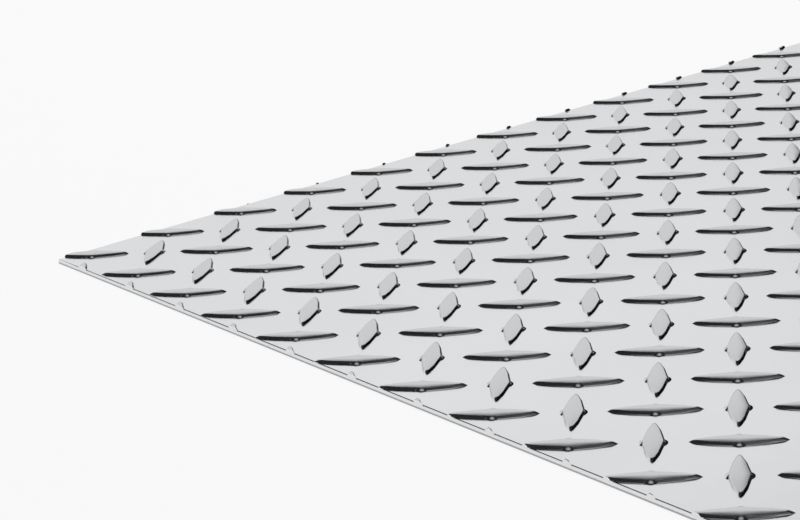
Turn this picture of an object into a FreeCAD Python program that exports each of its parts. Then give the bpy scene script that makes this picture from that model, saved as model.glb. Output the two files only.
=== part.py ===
"""Aluminium checker plate: one flat sheet of raised-lug tread plate, sheared square on all four sides.

Units are millimetres. The origin is the centre of the underside, +Z is up through the sheet, and the
sheet lies flat with its tread side up. The solid is the base sheet, measured between the lugs. The
rolled lugs are relief on its upper face and aren't part of this solid.
"""

import FreeCAD
import Part

import os

# Driving dimensions
SHEET_LENGTH_X = 914.4      # 36 in, a stock length
SHEET_WIDTH_Y = 609.6       # 24 in, a stock width
BASE_THICKNESS = 2.0        # the sheet between the lugs
EDGE_ROLLOVER_RADIUS = 0.2  # the shear draws the upper arris down into a small round

PARTS_FOLDER = "parts"
SAME_PLACE = 1e-6           # two coordinates nearer than this are the same


def blank():
    """The sheet as a square-edged slab, centred in plan, with its underside at z = 0."""
    corner = FreeCAD.Vector(-SHEET_LENGTH_X / 2, -SHEET_WIDTH_Y / 2, 0)
    return Part.makeBox(SHEET_LENGTH_X, SHEET_WIDTH_Y, BASE_THICKNESS, corner)


def upper_arrises(slab):
    """The four straight edges round the slab's upper face."""
    box = slab.BoundBox
    return [edge for edge in slab.Edges if abs(edge.BoundBox.ZMin - box.ZMax) < SAME_PLACE]


def roll_over(slab):
    """Rounds the upper arrises, as a guillotine leaves them. The lower arrises stay sharp."""
    return slab.makeFillet(EDGE_ROLLOVER_RADIUS, upper_arrises(slab))


def checker_plate():
    """The finished sheet, rolled and sheared as one piece."""
    return roll_over(blank())


def write(shape, node):
    """Checks one solid and writes it as a STEP file named after its node."""
    if not shape.isValid() or len(shape.Solids) != 1:
        raise ValueError(f"{node} isn't one valid solid")
    path = os.path.join(PARTS_FOLDER, f"{node}.step")
    shape.Solids[0].exportStep(path)
    box = shape.BoundBox
    print(f"{node}: {box.XLength:.2f} x {box.YLength:.2f} x {box.ZLength:.2f} mm, {shape.Volume:.0f} mm3")


os.makedirs(PARTS_FOLDER, exist_ok=True)
write(checker_plate(), "checker_plate")
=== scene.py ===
# %% [markdown]
# # A sheet of aluminium checker plate
#
# Checker plate is one rolled sheet. A pattern roll presses a lattice of lugs up out of the hot metal, and a
# guillotine shears the sheet to size afterwards, straight through whatever lugs lie on the line. So the lug
# is modelled once, copied over the whole lattice, cut off at the sheet's sides and then made one with it.

import math

import bpy
from mathutils import Matrix, Vector


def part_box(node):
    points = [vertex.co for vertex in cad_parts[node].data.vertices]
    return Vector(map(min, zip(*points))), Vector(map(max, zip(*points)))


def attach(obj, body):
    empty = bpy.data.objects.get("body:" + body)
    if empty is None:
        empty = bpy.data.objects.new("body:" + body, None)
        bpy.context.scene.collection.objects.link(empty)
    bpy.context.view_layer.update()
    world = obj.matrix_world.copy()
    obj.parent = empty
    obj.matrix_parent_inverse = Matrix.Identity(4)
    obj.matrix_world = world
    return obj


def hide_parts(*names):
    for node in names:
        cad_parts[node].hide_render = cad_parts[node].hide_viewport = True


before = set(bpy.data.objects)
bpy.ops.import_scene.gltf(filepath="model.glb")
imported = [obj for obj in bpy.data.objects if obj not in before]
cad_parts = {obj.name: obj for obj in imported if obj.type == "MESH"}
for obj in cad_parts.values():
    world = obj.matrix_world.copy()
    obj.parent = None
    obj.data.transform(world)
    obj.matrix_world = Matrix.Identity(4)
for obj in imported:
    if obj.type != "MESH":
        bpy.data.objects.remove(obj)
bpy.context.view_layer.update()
sheet_low, sheet_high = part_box("checker_plate")
sheet_size = sheet_high - sheet_low
print("sheet:", [round(side, 4) for side in sheet_size], "m")

# %% [markdown]
# Everything is in metres, but rolled stock is thought of in millimetres, so one factor turns one into the
# other. Operators act on all that is selected, and the loaded frame comes selected, so a new piece always
# starts with nothing selected. The helpers below do by name what a hand does with the mouse: pick a piece,
# pick some of its faces, add a modifier and apply it.

# %% Helpers
MM = 0.001


def start_fresh():
    """Leaves edit mode and deselects everything, so that the next operator acts on its own piece only."""
    if bpy.context.object and bpy.context.object.mode != "OBJECT":
        bpy.ops.object.mode_set(mode="OBJECT")
    bpy.ops.object.select_all(action="DESELECT")


def work_on(piece):
    """Selects one piece and makes it the active one."""
    start_fresh()
    piece.select_set(True)
    bpy.context.view_layer.objects.active = piece


def choose(piece, kind, wanted):
    """Opens a piece in edit mode with only the wanted vertices, edges or faces selected."""
    work_on(piece)
    bpy.ops.object.mode_set(mode="EDIT")
    bpy.ops.mesh.select_mode(type=kind)
    bpy.ops.mesh.select_all(action="DESELECT")
    bpy.ops.object.mode_set(mode="OBJECT")
    elements = {"VERT": piece.data.vertices, "EDGE": piece.data.edges, "FACE": piece.data.polygons}[kind]
    for element in elements:
        element.select = wanted(element)
    bpy.ops.object.mode_set(mode="EDIT")


def apply_modifier(piece, kind, **settings):
    """Adds a modifier to a piece, sets it up and applies it."""
    work_on(piece)
    modifier = piece.modifiers.new(kind.lower(), kind)
    for setting, value in settings.items():
        setattr(modifier, setting, value)
    bpy.ops.object.modifier_apply(modifier=modifier.name)


def triangles(piece):
    """How many triangles a piece's mesh makes."""
    piece.data.calc_loop_triangles()
    return len(piece.data.loop_triangles)


print("one millimetre is", MM, "m")


# %% [markdown]
# ## The lug
#
# Seen from above, a lug is a long diamond with slightly full sides and rounded corners. The outline could
# be typed in point by point, but a circle of eight corners is nearly there: its four slanting corners are
# pulled in until they lie near the sides of the diamond, and the whole is stretched to the lug's length and
# width.

# %% The diamond
PITCH = 38.1 * MM           # the lugs repeat every 1.5 in along both sides of the sheet
LUG_LENGTH = 35.1 * MM      # from point to point, before the tips are rounded
LUG_WIDTH = 8.0 * MM
SIDE_FULLNESS = 0.57        # how far out the middle of each side stands; a straight-sided diamond has 0.5

start_fresh()
bpy.ops.mesh.primitive_circle_add(vertices=8, radius=1, fill_type="NGON", location=(0, 0, 0))
lug = bpy.context.object
lug.name = "lug"
choose(lug, "VERT", lambda vertex: abs(abs(vertex.co.x) - abs(vertex.co.y)) < 0.01)
side_middle = math.sqrt(0.5)
bpy.ops.transform.resize(value=(SIDE_FULLNESS / side_middle, SIDE_FULLNESS / side_middle, 1))
bpy.ops.mesh.select_all(action="SELECT")
bpy.ops.transform.resize(value=(LUG_LENGTH / 2, LUG_WIDTH / 2, 1))
print("diamond:", len(lug.data.vertices), "corners")

# %% [markdown]
# A pattern roll is engraved with a round-nosed cutter, so the tips of a lug aren't sharp. A vertex bevel
# rounds a corner of a flat outline. The corners at the waist need no rounding, because a rib crosses the
# lug there.

# %% Round the tips
TIP_ROUNDING = 3 * MM

choose(lug, "VERT", lambda vertex: abs(vertex.co.y) < 0.01 * MM)
bpy.ops.mesh.bevel(affect="VERTICES", offset=TIP_ROUNDING, segments=2)
bpy.ops.object.mode_set(mode="OBJECT")
print("rounded diamond:", len(lug.data.vertices), "corners")

# %% [markdown]
# In section the lug is a nearly flat roof on steep walls, with a rounded shoulder between, and its crest
# falls away to both tips. The outline is extruded ring by ring, and each ring is drawn in a little before
# the next. An inset with a depth would keep every wall at one slope, but its rings cross each other at the
# narrow tips, so each ring is scaled on its own in length and width instead. The foot goes below the
# sheet's face, so that the lug and the sheet overlap when they are made one.

# %% Raise the lug
# Each step of a raised shape: how far its ring comes in at the ends, at the sides, and how far it rises.
LUG_FOOT = 0.5 * MM
FOOT = (0, 0, LUG_FOOT)
LUG_WALL = (1.5 * MM, 0.55 * MM, 0.78 * MM)
LUG_SHOULDER = (1.0 * MM, 0.3 * MM, 0.15 * MM)
LUG_CROWN = 0.14 * MM


def raise_outline(piece, half_x, half_y, steps, crown):
    """Turns a flat outline at the sheet's face into a closed solid, ring by ring, with a low crown on top."""
    choose(piece, "FACE", lambda face: True)
    bpy.ops.transform.translate(value=(0, 0, -LUG_FOOT))
    for run_x, run_y, rise in steps:
        bpy.ops.mesh.extrude_region_move(TRANSFORM_OT_translate={"value": (0, 0, rise)})
        bpy.ops.transform.resize(value=((half_x - run_x) / half_x, (half_y - run_y) / half_y, 1))
        half_x, half_y = half_x - run_x, half_y - run_y
    bpy.ops.mesh.poke(offset=crown)
    bpy.ops.mesh.select_all(action="SELECT")
    bpy.ops.mesh.normals_make_consistent(inside=False)
    bpy.ops.object.mode_set(mode="OBJECT")


raise_outline(lug, LUG_LENGTH / 2, LUG_WIDTH / 2, (FOOT, LUG_WALL, LUG_SHOULDER), LUG_CROWN)
reach = [max(vertex.co[axis] for vertex in lug.data.vertices) / MM for axis in range(3)]
print("lug:", round(2 * reach[0], 2), "by", round(2 * reach[1], 2), "mm,", round(reach[2], 2), "mm high")

# %% [markdown]
# A short fat rib crosses the lug at its waist and shows as a low nub on each side, which slopes down to its
# end. It is an oblong with its corners rounded by a vertex bevel, raised the same way, and a Boolean union
# makes the two one closed shape.

# %% The cross rib
RIB_LENGTH = 9.4 * MM
RIB_WIDTH = 4.8 * MM
RIB_ROUNDING = 1.6 * MM
RIB_WALL = (0.4 * MM, 0.35 * MM, 0.36 * MM)
RIB_SHOULDER = (0.8 * MM, 0.8 * MM, 0.5 * MM)
RIB_CROWN = 0.12 * MM

start_fresh()
bpy.ops.mesh.primitive_plane_add(size=1, location=(0, 0, 0))
rib = bpy.context.object
rib.name = "rib"
choose(rib, "VERT", lambda vertex: True)
bpy.ops.transform.resize(value=(RIB_WIDTH, RIB_LENGTH, 1))
bpy.ops.mesh.bevel(affect="VERTICES", offset=RIB_ROUNDING, segments=2)
raise_outline(rib, RIB_WIDTH / 2, RIB_LENGTH / 2, (FOOT, RIB_WALL, RIB_SHOULDER), RIB_CROWN)
apply_modifier(lug, "BOOLEAN", operation="UNION", solver="EXACT", object=rib)
bpy.data.objects.remove(rib)
print("one lug:", len(lug.data.polygons), "faces,", triangles(lug), "triangles")

# %% [markdown]
# ## The lattice
#
# The lugs lie at 45 degrees to the pattern's lines, in two families at right angles. One family stands on a
# square lattice, and the other at the middle of that lattice's squares. The shear is taken to have run a
# little out of line with the pattern, so the whole lattice is turned by a small angle, and where the shear
# fell decides how far the first lug is from each side. Two Array modifiers repeat a family, one along each
# line of the pattern. They lay one more lug than fits on every side, so that each side cuts through the
# lugs that straddle it.

# %% Lay out the lugs
FIRST_LUG = Vector((0.192, 0.331, 0)) * PITCH       # the first lug's centre from the sheet's corner
OUT_OF_LINE = math.radians(-0.48)
pattern = Matrix.Rotation(OUT_OF_LINE, 3, "Z")
step_x = pattern @ Vector((PITCH, 0, 0))
step_y = pattern @ Vector((0, PITCH, 0))
corner = Vector((sheet_low.x, sheet_low.y, sheet_high.z))
first_centre = corner + FIRST_LUG
columns = round(sheet_size.x / PITCH) + 2
rows = round(sheet_size.y / PITCH) + 2


def lay_out(name, turn, first):
    """A copy of the lug, turned and repeated over the lattice, with its place in its mesh."""
    work_on(lug)
    bpy.ops.object.duplicate()
    family = bpy.context.object
    family.name = name
    bpy.ops.object.mode_set(mode="EDIT")
    bpy.ops.mesh.select_all(action="SELECT")
    bpy.ops.transform.rotate(value=-turn - OUT_OF_LINE, orient_axis="Z", center_override=(0, 0, 0))
    bpy.ops.transform.translate(value=first)
    bpy.ops.object.mode_set(mode="OBJECT")
    for count, step in ((columns, step_x), (rows, step_y)):
        apply_modifier(family, "ARRAY", count=count, use_relative_offset=False,
                       use_constant_offset=True, constant_offset_displace=step)
    return family


rising = lay_out("rising", math.radians(45), first_centre - step_x - step_y)
falling = lay_out("falling", math.radians(-45), first_centre - (step_x + step_y) / 2)
start_fresh()
falling.select_set(True)
rising.select_set(True)
bpy.context.view_layer.objects.active = rising
bpy.ops.object.join()
lugs = bpy.context.object
bpy.data.objects.remove(lug)
print("lugs laid:", 2 * columns * rows, "with", triangles(lugs), "triangles")

# %% [markdown]
# The guillotine cuts the lugs off at the sheet's sides. A bisect at each side does the same, and its fill
# closes each cut lug with a flat face. The cut stands a hair inside the sheet's own side, so that the two
# faces don't share a plane when they are made one. A bisect takes corners within a tenth of a millimetre
# for corners on the plane, which tears a lug open that is only just cut, so it is told to be stricter.

# %% Shear the lugs
SHEAR_INSET = 0.02 * MM
NEAR_ENOUGH = 0.001 * MM

for outward in (Vector((1, 0, 0)), Vector((-1, 0, 0)), Vector((0, 1, 0)), Vector((0, -1, 0))):
    reach = (sheet_size.x * abs(outward.x) + sheet_size.y * abs(outward.y)) / 2 - SHEAR_INSET
    choose(lugs, "FACE", lambda face: True)
    bpy.ops.mesh.bisect(plane_co=outward * reach, plane_no=outward, use_fill=True, clear_outer=True,
                        threshold=NEAR_ENOUGH)
    bpy.ops.object.mode_set(mode="OBJECT")
print("sheared lugs:", triangles(lugs), "triangles")

# %% [markdown]
# ## The sheet
#
# The base sheet is a slab with the shear's roll-over on its upper arris, where the blade draws the metal
# down before it cuts. The lower arris stays square. The union with the lugs makes one closed skin, as on
# the real sheet, which is one piece of metal.

# %% The base sheet
ROLL_OVER = 0.5 * MM

start_fresh()
bpy.ops.mesh.primitive_cube_add(size=1, location=(sheet_low + sheet_high) / 2, scale=sheet_size)
sheet = bpy.context.object
sheet.name = "tread_sheet"
bpy.ops.object.transform_apply(location=True, rotation=True, scale=True)


def at_the_face(edge):
    """Whether both ends of an edge are at the top of the base sheet."""
    return all(abs(sheet.data.vertices[index].co.z - sheet_high.z) < 0.001 * MM for index in edge.vertices)


choose(sheet, "EDGE", at_the_face)
bpy.ops.mesh.bevel(affect="EDGES", offset=ROLL_OVER, segments=3)
bpy.ops.object.mode_set(mode="OBJECT")
print("base sheet:", len(sheet.data.polygons), "faces")

# %% [markdown]
# Smooth shading hides the few flat faces that each lug is made of. Left to itself it would also bend the
# light on the wide flat face between the lugs, because a lug's tip meets that face at a low angle, so every
# edge in that face's plane is marked sharp. Weighted normals then favour the large faces: the long walls
# stay flat, and the bends fall in the narrow faces between them.

# %% Make them one
SMOOTH_BELOW = 42           # degrees; a bend sharper than this stays an edge

apply_modifier(sheet, "BOOLEAN", operation="UNION", solver="MANIFOLD", object=lugs)
bpy.data.objects.remove(lugs)
if len(sheet.data.polygons) < columns * rows:
    raise RuntimeError("the union failed and left a plain slab without lugs")
work_on(sheet)
bpy.ops.object.shade_smooth_by_angle(angle=math.radians(SMOOTH_BELOW))
choose(sheet, "EDGE", at_the_face)
bpy.ops.mesh.mark_sharp()
bpy.ops.object.mode_set(mode="OBJECT")
apply_modifier(sheet, "WEIGHTED_NORMAL", keep_sharp=True, weight=80)
print("sheet with its lugs:", len(sheet.data.polygons), "faces,", triangles(sheet), "triangles")

# %% [markdown]
# ## Finishes
#
# The sheet is bare aluminium alloy all over, but its surfaces were made in three ways. The upper face took
# the polish of the pattern roll, the underside ran over a plain work roll, and the edges were torn by the
# shear. Each gets a material of its own. One function turns written colours to linear light, and one adds a
# node.

# %% Colours and nodes
def linear(hex_colour):
    """An sRGB hex colour as linear red, green, blue and alpha."""
    channels = [int(hex_colour[start:start + 2], 16) / 255 for start in (1, 3, 5)]
    return [c / 12.92 if c <= 0.04045 else ((c + 0.055) / 1.055) ** 2.4 for c in channels] + [1]


def add_node(tree, kind, settings=None, links=None):
    """Adds a node, gives its properties and unlinked sockets their values, and links the others."""
    node = tree.nodes.new(kind)
    for name, value in (settings or {}).items():
        if isinstance(name, str) and hasattr(node, name):
            setattr(node, name, value)
        else:
            node.inputs[name].default_value = value
    for name, source in (links or {}).items():
        tree.links.new(source, node.inputs[name])
    return node


def empty_material(name):
    """A new material with no nodes in it."""
    material = bpy.data.materials.new(name)
    material.use_nodes = True
    material.node_tree.nodes.clear()
    return material


print("mid grey #808080 in linear light:", round(linear("#808080")[0], 3))

# %% [markdown]
# ### Bright-rolled aluminium
#
# Aluminium is a white metal with hardly a tint, and a metal, so its colour is all in its reflection. The
# roll's polished lands leave the face between the lugs bright. The lugs fill the roll's engraved pockets,
# which are less polished, so above the face the metal is a little duller and greyer. Height in Object
# coordinates tells the two apart.

# %% The upper face's two tones
PER_METRE = 1 / MM          # a pattern that repeats every N mm has a scale of PER_METRE / N
CLOUD_SIZE = 90
LUG_TONE_FROM = 0.15        # mm above the face
LUG_TONE_FULL = 0.7

bright = empty_material("bright_rolled_aluminium")
tree = bright.node_tree
place = add_node(tree, "ShaderNodeTexCoord").outputs["Object"]
height = add_node(tree, "ShaderNodeSeparateXYZ", links={0: place}).outputs["Z"]
on_lug = add_node(tree, "ShaderNodeMapRange",
                  {"interpolation_type": "SMOOTHSTEP", "From Min": sheet_high.z + LUG_TONE_FROM * MM,
                   "From Max": sheet_high.z + LUG_TONE_FULL * MM}, {"Value": height}).outputs[0]
cloud = add_node(tree, "ShaderNodeTexNoise", {"Scale": PER_METRE / CLOUD_SIZE, "Detail": 3},
                 {"Vector": place}).outputs[0]
face_tone = add_node(tree, "ShaderNodeMix", {"data_type": "RGBA", 6: linear("#E6E7E9"), 7: linear("#F0F1F3")},
                     {0: cloud}).outputs[2]
tone = add_node(tree, "ShaderNodeMix", {"data_type": "RGBA", 7: linear("#DADBDD")},
                {0: on_lug, 6: face_tone}).outputs[2]
print("the lug's tone begins", LUG_TONE_FROM, "mm above the face and is full at", LUG_TONE_FULL, "mm")

# %% [markdown]
# Cold rolling leaves a grain: lines far longer than they are wide, which all run the way the sheet went
# through the mill. Noise stretched along X draws them. Real grain is about 0.05 mm wide, too fine to show,
# so it is drawn 0.4 mm wide. The sheet is also not quite flat between its lugs, which bends what it
# mirrors; a soft noise the size of a lug does that. Both are bump, with heights in metres.

# %% Grain and waviness
GRAIN_WIDTH = 0.4
GRAIN_LENGTH = 40
WAVE_SIZE = 22

stretched = add_node(tree, "ShaderNodeMapping",
                     {"Scale": (PER_METRE / GRAIN_LENGTH, PER_METRE / GRAIN_WIDTH, PER_METRE / GRAIN_WIDTH)},
                     {"Vector": place}).outputs[0]
grain = add_node(tree, "ShaderNodeTexNoise", {"Scale": 1, "Detail": 2}, {"Vector": stretched}).outputs[0]
wave = add_node(tree, "ShaderNodeTexNoise", {"Scale": PER_METRE / WAVE_SIZE, "Detail": 1},
                {"Vector": place}).outputs[0]
waved = add_node(tree, "ShaderNodeBump", {"Strength": 1, "Distance": 0.06 * MM}, {"Height": wave}).outputs[0]
grained = add_node(tree, "ShaderNodeBump", {"Strength": 0.5, "Distance": 0.003 * MM},
                   {"Height": grain, "Normal": waved}).outputs[0]
dullness = add_node(tree, "ShaderNodeMapRange", {"To Min": 0.13, "To Max": 0.19}, {"Value": grain}).outputs[0]
roughness = add_node(tree, "ShaderNodeMath", {"operation": "MULTIPLY_ADD", 1: 0.05}, {0: on_lug, 2: dullness})
surface = add_node(tree, "ShaderNodeBsdfPrincipled", {"Metallic": 1},
                   {"Base Color": tone, "Roughness": roughness.outputs[0], "Normal": grained})
add_node(tree, "ShaderNodeOutputMaterial", links={"Surface": surface.outputs["BSDF"]})
print("bright-rolled aluminium:", len(tree.nodes), "nodes, grain", GRAIN_WIDTH, "by", GRAIN_LENGTH, "mm")

# %% [markdown]
# ### The sheared edge
#
# A shear cuts cleanly into the upper third of the sheet and leaves it burnished, and the rest tears and is
# matt and darker. A ramp over the height draws the two bands, and a noise finer than the sheet is thick
# breaks the lower one up.

# %% Sheared edge
TEAR_SIZE = 0.5

sheared = empty_material("sheared_aluminium_edge")
tree = sheared.node_tree
place = add_node(tree, "ShaderNodeTexCoord").outputs["Object"]
height = add_node(tree, "ShaderNodeSeparateXYZ", links={0: place}).outputs["Z"]
tear = add_node(tree, "ShaderNodeTexNoise", {"Scale": PER_METRE / TEAR_SIZE, "Detail": 3}, {"Vector": place})
ragged = add_node(tree, "ShaderNodeMath", {"operation": "MULTIPLY_ADD", 1: 0.4 * MM},
                  {0: tear.outputs[0], 2: height}).outputs[0]
burnished = add_node(tree, "ShaderNodeMapRange",
                     {"interpolation_type": "SMOOTHSTEP", "From Min": sheet_low.z + 0.75 * MM,
                      "From Max": sheet_low.z + 1.05 * MM}, {"Value": ragged}).outputs[0]
tone = add_node(tree, "ShaderNodeMix", {"data_type": "RGBA", 6: linear("#B4B6B9"), 7: linear("#E4E5E7")},
                {0: burnished}).outputs[2]
dullness = add_node(tree, "ShaderNodeMapRange", {"To Min": 0.55, "To Max": 0.28},
                    {"Value": burnished}).outputs[0]
torn = add_node(tree, "ShaderNodeBump", {"Strength": 0.5, "Distance": 0.03 * MM},
                {"Height": tear.outputs[0]}).outputs[0]
surface = add_node(tree, "ShaderNodeBsdfPrincipled", {"Metallic": 1},
                   {"Base Color": tone, "Roughness": dullness, "Normal": torn})
add_node(tree, "ShaderNodeOutputMaterial", links={"Surface": surface.outputs["BSDF"]})
print("sheared edge:", len(tree.nodes), "nodes")

# %% [markdown]
# ### The mill-finish underside
#
# The underside is plain mill finish: an even, silky grey with the rolling grain, and no lugs.

# %% Mill finish
mill = empty_material("mill_finish_aluminium")
tree = mill.node_tree
place = add_node(tree, "ShaderNodeTexCoord").outputs["Object"]
stretched = add_node(tree, "ShaderNodeMapping",
                     {"Scale": (PER_METRE / GRAIN_LENGTH, PER_METRE / GRAIN_WIDTH, PER_METRE / GRAIN_WIDTH)},
                     {"Vector": place}).outputs[0]
grain = add_node(tree, "ShaderNodeTexNoise", {"Scale": 1, "Detail": 3}, {"Vector": stretched}).outputs[0]
tone = add_node(tree, "ShaderNodeMix", {"data_type": "RGBA", 6: linear("#CDCFD1"), 7: linear("#DDDEE0")},
                {0: grain}).outputs[2]
dullness = add_node(tree, "ShaderNodeMapRange", {"To Min": 0.34, "To Max": 0.44}, {"Value": grain}).outputs[0]
surface = add_node(tree, "ShaderNodeBsdfPrincipled", {"Metallic": 1},
                   {"Base Color": tone, "Roughness": dullness})
add_node(tree, "ShaderNodeOutputMaterial", links={"Surface": surface.outputs["BSDF"]})
print("mill finish:", len(tree.nodes), "nodes")

# %% [markdown]
# The faces are sorted by where they look: down is the underside, sideways at a side of the sheet is a
# sheared edge, cut lugs among them, and all the rest is the upper face.

# %% Give each face its finish
def at_a_side(face):
    """Whether a face stands upright at one of the sheet's four sides."""
    reach_x = sheet_size.x / 2 - abs(face.center.x)
    reach_y = sheet_size.y / 2 - abs(face.center.y)
    return abs(face.normal.z) < 0.2 and min(reach_x, reach_y) < 2 * SHEAR_INSET


sheet.data.materials.clear()
for material in (bright, sheared, mill):
    sheet.data.materials.append(material)
for slot, wanted in ((1, at_a_side), (2, lambda face: face.normal.z < -0.9)):
    choose(sheet, "FACE", wanted)
    sheet.active_material_index = slot
    bpy.ops.object.material_slot_assign()
    bpy.ops.object.mode_set(mode="OBJECT")
slots = [face.material_index for face in sheet.data.polygons]
print("faces by finish:", [slots.count(slot) for slot in range(len(sheet.data.materials))])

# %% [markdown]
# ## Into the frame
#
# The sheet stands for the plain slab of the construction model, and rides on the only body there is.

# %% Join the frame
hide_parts("checker_plate")
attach(sheet, "root")
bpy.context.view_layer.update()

# %% [markdown]
# ## The studio
#
# The floor is white paint. What the camera sees of it, and what the metal mirrors of it, is mostly a plain
# white of strength 1, so it reads as a white background, and the rest is matt paint that takes the sheet's
# shadow.

# %% The floor
FLOOR_GAP = 0.05 * MM       # keeps the floor and the underside out of one plane
PLAIN_WHITE = 0.88          # the share of plain white in what is seen

start_fresh()
bpy.ops.mesh.primitive_plane_add(size=60, location=(0, 0, sheet_low.z - FLOOR_GAP))
floor = bpy.context.object
floor.name = "floor"
paint = empty_material("white_floor")
tree = paint.node_tree
path = add_node(tree, "ShaderNodeLightPath").outputs
seen = add_node(tree, "ShaderNodeMath", {"operation": "MAXIMUM"},
                {0: path["Is Camera Ray"], 1: path["Is Glossy Ray"]})
share = add_node(tree, "ShaderNodeMath", {"operation": "MULTIPLY", 1: PLAIN_WHITE}, {0: seen.outputs[0]})
matt = add_node(tree, "ShaderNodeBsdfDiffuse", {"Color": linear("#F4F4F4")})
glow = add_node(tree, "ShaderNodeEmission", {"Color": linear("#FFFFFF"), "Strength": 1})
mixed = add_node(tree, "ShaderNodeMixShader",
                 links={0: share.outputs[0], 1: matt.outputs[0], 2: glow.outputs[0]})
add_node(tree, "ShaderNodeOutputMaterial", links={"Surface": mixed.outputs[0]})
floor.data.materials.append(paint)
print("floor:", round((sheet_low.z - floor.location.z) / MM, 2), "mm under the sheet")

# %% [markdown]
# The camera looks down over the sheet's corner with a long lens. Its place is given from the first lug, in
# steps of the lattice, and a slight roll tilts the picture.

# %% The camera
AZIMUTH = math.radians(53.79)
ELEVATION = math.radians(18.19)
ROLL = math.radians(-5.07)
CAMERA_FROM_FIRST_LUG = Vector((21.132, -11.253, 7.408)) * PITCH
LENS = 100.3

forward = Vector((-math.sin(AZIMUTH) * math.cos(ELEVATION), math.cos(AZIMUTH) * math.cos(ELEVATION),
                  -math.sin(ELEVATION)))
level_right = forward.cross(Vector((0, 0, 1))).normalized()
level_up = level_right.cross(forward)
right = level_right * math.cos(ROLL) + level_up * math.sin(ROLL)
up = level_up * math.cos(ROLL) - level_right * math.sin(ROLL)
camera_data = bpy.data.cameras.new("camera")
camera_data.lens = LENS
camera_data.sensor_width = 36
camera_data.clip_end = 100
camera = bpy.data.objects.new("camera", camera_data)
bpy.context.scene.collection.objects.link(camera)
turn = Matrix((right, up, -forward)).transposed().to_4x4()
camera.matrix_world = Matrix.Translation(first_centre + CAMERA_FROM_FIRST_LUG) @ turn
bpy.context.scene.camera = camera
print("camera at", [round(side, 3) for side in camera.matrix_world.translation], "m, lens", LENS, "mm")

# %% [markdown]
# Bright metal shows little but what surrounds it, so the studio is drawn in the world. A pale cyclorama
# stands all round, and above it the room is dark. The flat face mirrors the cyclorama and looks pale from
# any low angle, and the lugs' walls, which face up and out, mirror the dark room. A grey ceiling right
# overhead keeps the sheet from going black when it is seen from above. Each ramp gives a grey for each
# height of a direction, from level, 0, to straight up, 1.

# %% The cyclorama
world = bpy.data.worlds.new("studio")
bpy.context.scene.world = world
world.use_nodes = True
tree = world.node_tree
tree.nodes.clear()
direction = add_node(tree, "ShaderNodeTexCoord").outputs["Generated"]
height = add_node(tree, "ShaderNodeSeparateXYZ", links={0: direction}).outputs["Z"]


def tone_ramp(stops):
    """A ramp of greys over the height of a direction, from pairs of height and tone."""
    node = add_node(tree, "ShaderNodeValToRGB", links={0: height})
    ramp = node.color_ramp
    for element, (place, tone) in zip(ramp.elements, (stops[0], stops[-1])):
        element.position, element.color = place, [tone] * 3 + [1]
    for place, tone in stops[1:-1]:
        ramp.elements.new(place).color = [tone] * 3 + [1]
    return node.outputs["Color"]


def towards(heading):
    """How far a direction points towards a level heading, from -1 to 1."""
    node = add_node(tree, "ShaderNodeVectorMath", {"operation": "DOT_PRODUCT", 1: heading}, {0: direction})
    return node.outputs["Value"]


def step(value, start, end):
    """A smooth step from 0 at the start to 1 at the end."""
    return add_node(tree, "ShaderNodeMapRange", {"interpolation_type": "SMOOTHSTEP", "From Min": start,
                                                 "From Max": end}, {"Value": value}).outputs[0]


far_side = towards(Vector((-math.sin(AZIMUTH), math.cos(AZIMUTH), 0)))
right_side = towards(Vector((math.cos(AZIMUTH), math.sin(AZIMUTH), 0)))
CEILING = ((0.965, 0.015), (0.99, 0.45))
behind_sheet = tone_ramp(((0, 0.78), (0.24, 0.8), (0.42, 0.92), (0.5, 0.6), (0.58, 0.03)) + CEILING)
behind_camera = tone_ramp(((0, 0.84), (0.36, 0.8), (0.48, 0.02)) + CEILING)
bands = add_node(tree, "ShaderNodeMix", {"data_type": "RGBA"},
                 {0: step(far_side, -0.15, 0.15), 6: behind_camera, 7: behind_sheet}).outputs[2]
print("cyclorama:", len(tree.nodes), "nodes")

# %% [markdown]
# Cards of one tone stand in front of the cyclorama, each between two bearings and two heights, with soft
# ends. A bearing is an angle to the right of straight behind the sheet. Two black flags to the right, a low
# one and a taller one farther round, give the walls that face that way a black edge, where they would
# otherwise be as pale as the sheet and lost on it. They also darken a corner of the sheet when it is seen
# from some other sides. A grey card behind the camera lifts the right halves of the walls that face it, and
# a paler, lower one adds a little to that. A dark card to the left deepens the line along the rounded arris
# of the sheared side.

# %% Cards and flags
bearing = add_node(tree, "ShaderNodeMath", {"operation": "ARCTAN2"}, {0: right_side, 1: far_side}).outputs[0]


def times(first, second):
    """The product of two values."""
    return add_node(tree, "ShaderNodeMath", {"operation": "MULTIPLY"}, {0: first, 1: second}).outputs[0]


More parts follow.
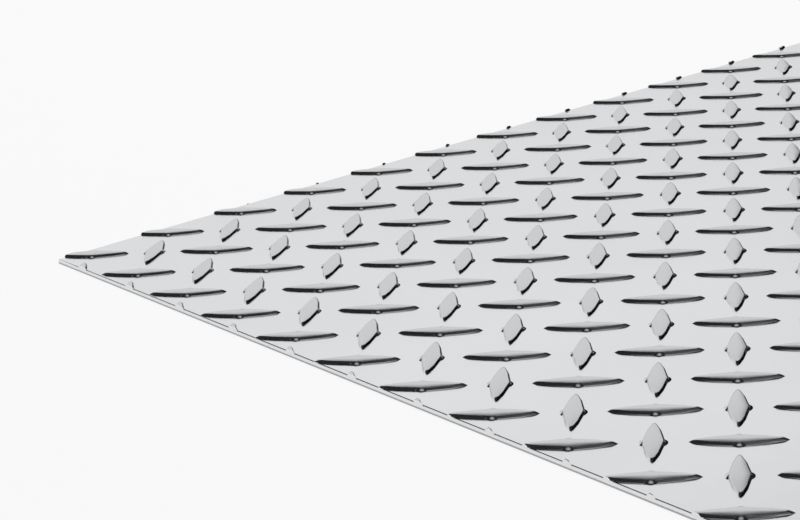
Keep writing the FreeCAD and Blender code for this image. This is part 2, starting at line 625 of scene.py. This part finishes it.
def card(behind, colour, bearings, heights, softness):
    """Lays a card of one colour over what is behind it; softness is in degrees or hundredths of height."""
    left, right = [math.radians(end) for end in bearings]
    low, high = heights
    edge, rim = math.radians(softness), softness / 100
    width = times(step(bearing, left, left + edge), step(bearing, right, right - edge))
    rise = times(step(height, low, low + rim), step(height, high, high - rim))
    return add_node(tree, "ShaderNodeMix", {"data_type": "RGBA", 7: linear(colour)},
                    {0: times(width, rise), 6: behind}).outputs[2]


BLACK, DARK, GREY, PALE = "#080808", "#38393B", "#48494B", "#C0C0C0"
CARDS = (                   # colour, bearings from and to, heights from and to, softness
    (BLACK, (12, 85), (-1, 0.46), 4),
    (BLACK, (34, 100), (-1, 0.66), 8),
    (GREY, (110, 178), (0.56, 0.93), 10),
    (PALE, (95, 164), (0.45, 0.75), 8),
    (DARK, (-74, -42), (0.3, 0.7), 6),
)
surroundings = bands
for colour, bearings, heights, softness in CARDS:
    surroundings = card(surroundings, colour, bearings, heights, softness)
print("cards:", len(CARDS))

# %% [markdown]
# The camera itself sees plain white.

# %% The world's light
path = add_node(tree, "ShaderNodeLightPath").outputs
picture = add_node(tree, "ShaderNodeMix", {"data_type": "RGBA", 7: linear("#FFFFFF")},
                   {0: path["Is Camera Ray"], 6: surroundings}).outputs[2]
sky = add_node(tree, "ShaderNodeBackground", {"Strength": 1}, {"Color": picture})
add_node(tree, "ShaderNodeOutputWorld", links={"Surface": sky.outputs[0]})
print("the world:", len(tree.nodes), "nodes")

# %% [markdown]
# A softbox overhead lights the floor and gives the sheet its soft shadow. The metal doesn't mirror it,
# because the cyclorama already gives the metal its light.

# %% The softbox
lamp_data = bpy.data.lights.new("softbox", "AREA")
lamp_data.shape = "SQUARE"
lamp_data.size = 1.6
lamp_data.energy = 26
lamp = bpy.data.objects.new("softbox", lamp_data)
bpy.context.scene.collection.objects.link(lamp)
lamp.location = (-0.6, 0.6, 2.0)
lamp.rotation_mode = "QUATERNION"
lamp.rotation_quaternion = Vector(lamp.location).to_track_quat("Z", "Y")
lamp.visible_glossy = False
bpy.context.scene.view_settings.view_transform = "Standard"
print("softbox:", lamp_data.energy, "W,", lamp_data.size, "m square")
